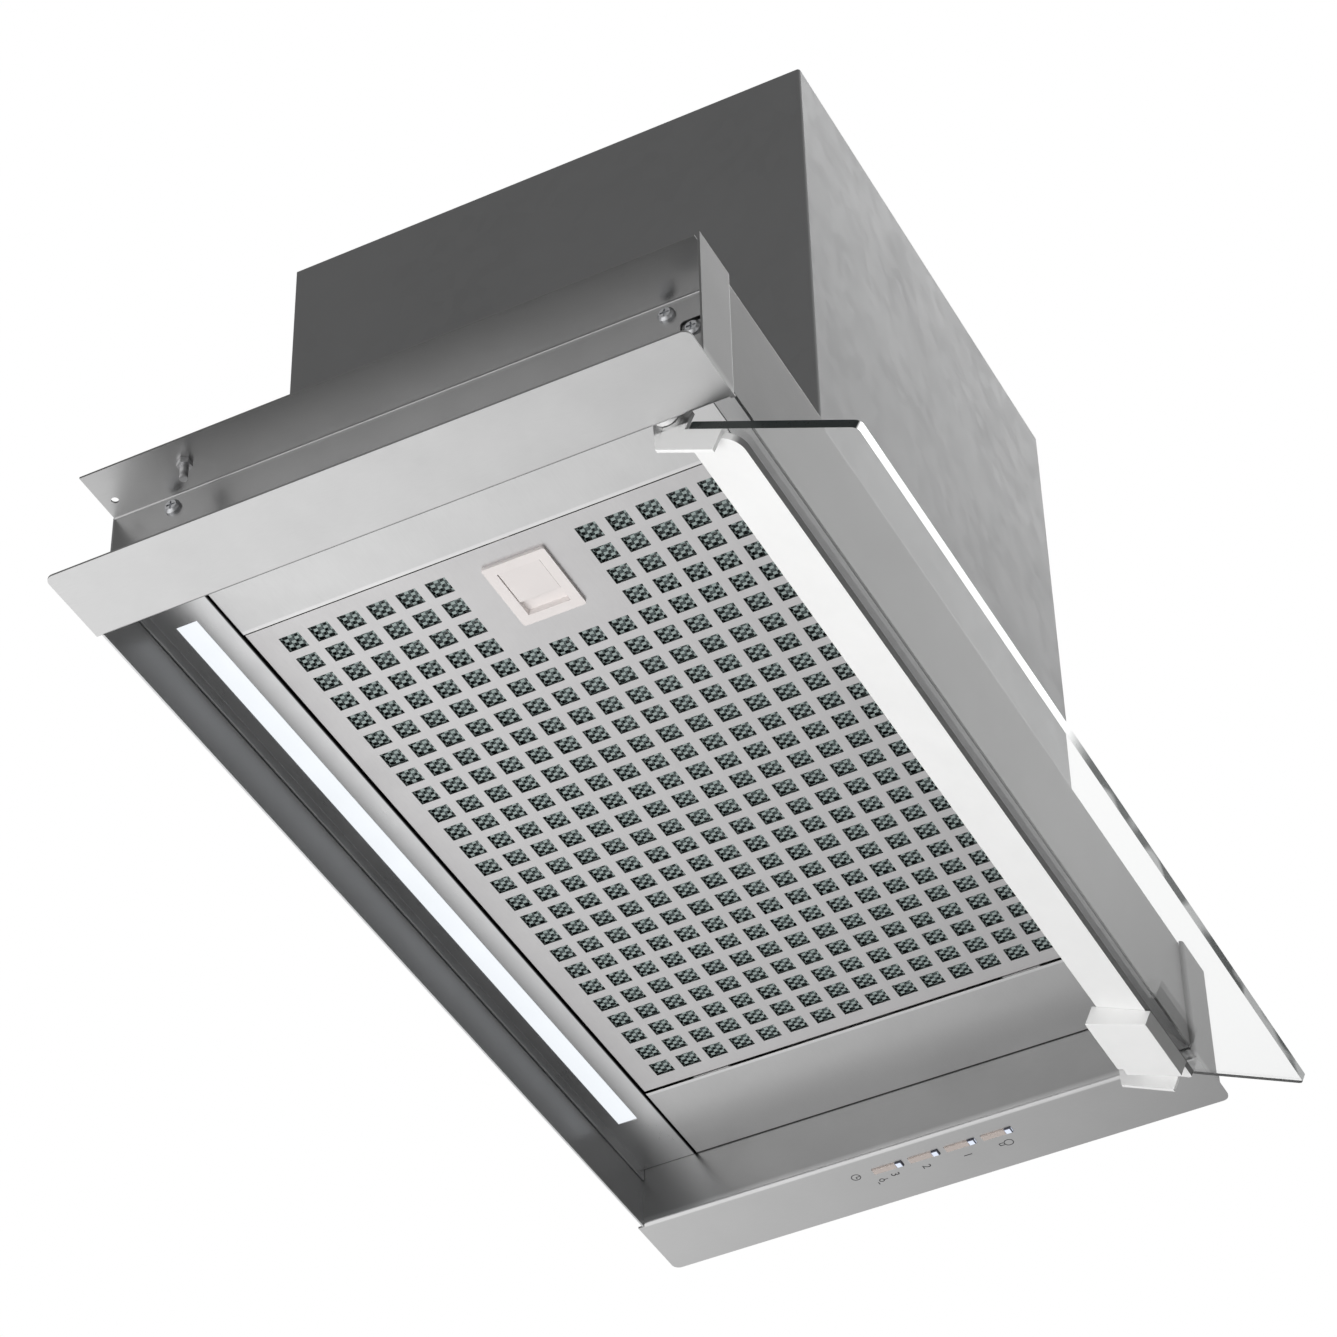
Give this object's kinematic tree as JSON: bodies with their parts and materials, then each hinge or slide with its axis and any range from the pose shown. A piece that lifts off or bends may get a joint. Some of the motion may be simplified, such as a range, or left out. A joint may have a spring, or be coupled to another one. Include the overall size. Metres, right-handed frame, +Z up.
{
  "type": "built-in range hood",
  "caption": "Built-in cooker hood with perforated grease filter, long light, tilting glass visor, push buttons in an end strip and a motor box with duct collar on top.",
  "frame": {"origin": "midway between the two end strips, front to back and side to side, on their underside", "axes": "+X to the right as a cook faces the hood, +Y to the wall behind, +Z up"},
  "size_m": [0.594, 0.3635, 0.4486],
  "materials": {
    "brushed_steel": "brushed satin",
    "galvanised_steel": "dull zinc",
    "expanded_aluminium": "raw",
    "opal_plastic": "opal",
    "clear_plastic": "clear, lit",
    "circuit_board": "solder mask",
    "white_plastic": "fine grain",
    "pale_plastic": "fine grain",
    "black_plastic": "fine grain",
    "black_rubber": "moulded",
    "spring_steel": "bright zinc",
    "motor_alloy": "cast",
    "motor_core": "lacquered",
    "clear_glass": "polished edges"
  },
  "bodies": {
    "housing": {"left_end_plate": "brushed_steel", "right_end_plate": "brushed_steel", "front_panel": "brushed_steel", "front_inner_wall": "galvanised_steel", "back_panel": "galvanised_steel", "top_plate": "galvanised_steel", "left_infill_panel": "brushed_steel", "right_infill_panel": "brushed_steel", "light_panel": "galvanised_steel", "light_diffuser": "opal_plastic", "light_board": "circuit_board", "light_cover": "galvanised_steel", "light_driver": "white_plastic", "control_housing": "black_plastic", "control_board": "circuit_board", "control_switches": "black_plastic", "indicator_windows": "clear_plastic", "motor_box_shell": "galvanised_steel", "motor_box_top": "galvanised_steel", "motor_box_back": "galvanised_steel", "duct_collar": "black_plastic", "flap_pin": "spring_steel", "scroll_left_half": "galvanised_steel", "scroll_right_half": "galvanised_steel", "motor_case": "motor_alloy", "motor_stator": "motor_core", "motor_bearings": "spring_steel", "motor_bracket": "galvanised_steel", "rubber_mounts": "black_rubber", "capacitor": "white_plastic", "connection_box": "white_plastic", "cable_gland": "black_plastic", "wall_screws": "spring_steel", "clamp_screws": "spring_steel", "box_screws": "spring_steel", "visor_pins": "spring_steel", "visor_washers": "white_plastic", "visor_nuts": "spring_steel"},
    "visor": {"visor_glass": "clear_glass", "visor_bar": "white_plastic", "visor_left_arm": "brushed_steel", "visor_right_arm": "brushed_steel", "visor_box": "white_plastic", "visor_magnet": "motor_core"},
    "filter": {"filter_face": "brushed_steel", "filter_frame": "galvanised_steel", "filter_mesh": "expanded_aluminium", "filter_grille": "galvanised_steel", "latch_bezel": "pale_plastic", "latch_spring": "spring_steel"},
    "latch": {"latch_slider": "pale_plastic"},
    "light_button": {"button_light": "pale_plastic"},
    "speed_1_button": {"button_speed_1": "pale_plastic"},
    "speed_2_button": {"button_speed_2": "pale_plastic"},
    "speed_3_button": {"button_speed_3": "pale_plastic"},
    "fan": {"fan_wheel": "black_plastic", "motor_shaft": "spring_steel", "motor_rotor": "motor_core"},
    "front_flap": {"front_flap": "black_plastic"},
    "back_flap": {"back_flap": "black_plastic"}
  },
  "joints": [
    {"name": "visor_tilt", "type": "hinge", "parent": "housing", "child": "visor", "pos_m": [0, -0.1217, 0.0078], "axis": [1, 0, 0], "range_deg": [-25, 11]},
    {"name": "filter_drop", "type": "hinge", "parent": "housing", "child": "filter", "pos_m": [0.196, -0.003, 0.0358], "axis": [0, -1, 0], "range_deg": [0, 55]},
    {"name": "latch_slide", "type": "slide", "parent": "filter", "child": "latch", "axis": [1, 0, 0], "range_m": [0, 0.006], "stiffness_N_per_m": 300, "springref_m": -0.003, "deforming": ["latch_spring"]},
    {"name": "light_button_press", "type": "slide", "parent": "housing", "child": "light_button", "axis": [0, 0, 1], "range_m": [0, 0.0008], "stiffness_N_per_m": 500, "springref_m": -0.0004},
    {"name": "speed_1_button_press", "type": "slide", "parent": "housing", "child": "speed_1_button", "axis": [0, 0, 1], "range_m": [0, 0.0008], "stiffness_N_per_m": 500, "springref_m": -0.0004},
    {"name": "speed_2_button_press", "type": "slide", "parent": "housing", "child": "speed_2_button", "axis": [0, 0, 1], "range_m": [0, 0.0008], "stiffness_N_per_m": 500, "springref_m": -0.0004},
    {"name": "speed_3_button_press", "type": "slide", "parent": "housing", "child": "speed_3_button", "axis": [0, 0, 1], "range_m": [0, 0.0008], "stiffness_N_per_m": 500, "springref_m": -0.0004},
    {"name": "fan_spin", "type": "hinge", "parent": "housing", "child": "fan", "pos_m": [0.0277, 0.012, 0.2015], "axis": [1, 0, 0], "continuous": true},
    {"name": "front_flap_swing", "type": "hinge", "parent": "housing", "child": "front_flap", "pos_m": [0.0277, -0.041, 0.382], "axis": [-1, 0, 0], "range_deg": [0, 70]},
    {"name": "back_flap_swing", "type": "hinge", "parent": "housing", "child": "back_flap", "pos_m": [0.0277, -0.041, 0.382], "axis": [1, 0, 0], "range_deg": [0, 70]}
  ]
}
